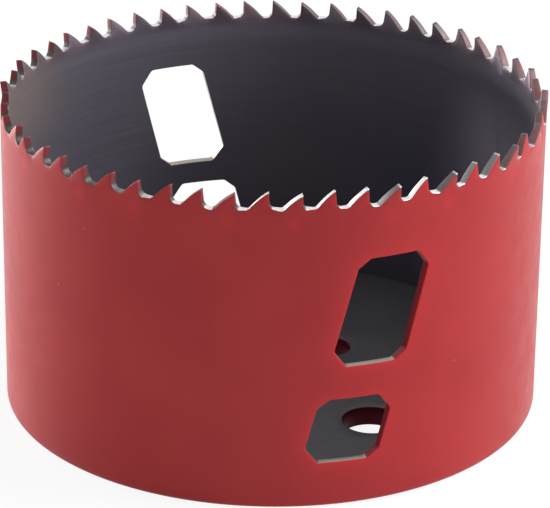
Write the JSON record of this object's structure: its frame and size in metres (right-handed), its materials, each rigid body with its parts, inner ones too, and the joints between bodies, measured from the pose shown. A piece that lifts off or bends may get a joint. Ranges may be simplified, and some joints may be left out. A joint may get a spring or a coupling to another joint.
{
  "type": "hole saw",
  "caption": "Toothed steel cup saw with slanted chip slots and a threaded backing plate, for cutting large round holes on an arbor.",
  "frame": {"origin": "middle of the backing plate's outer face, where the arbor axis crosses the plane the saw stands on", "axes": "+Z along the arbor axis towards the teeth; the two stacks of chip slots face -Y and +Y; +X completes the frame"},
  "size_m": [0.0826, 0.0826, 0.0492],
  "materials": {
    "red_paint": "satin red paint outside, bare dark steel inside and on the teeth",
    "plate_steel": "dark steel inside, painted red outside"
  },
  "bodies": {
    "root": {"saw_shell": "red_paint", "backing_plate": "plate_steel"}
  },
  "joints": []
}
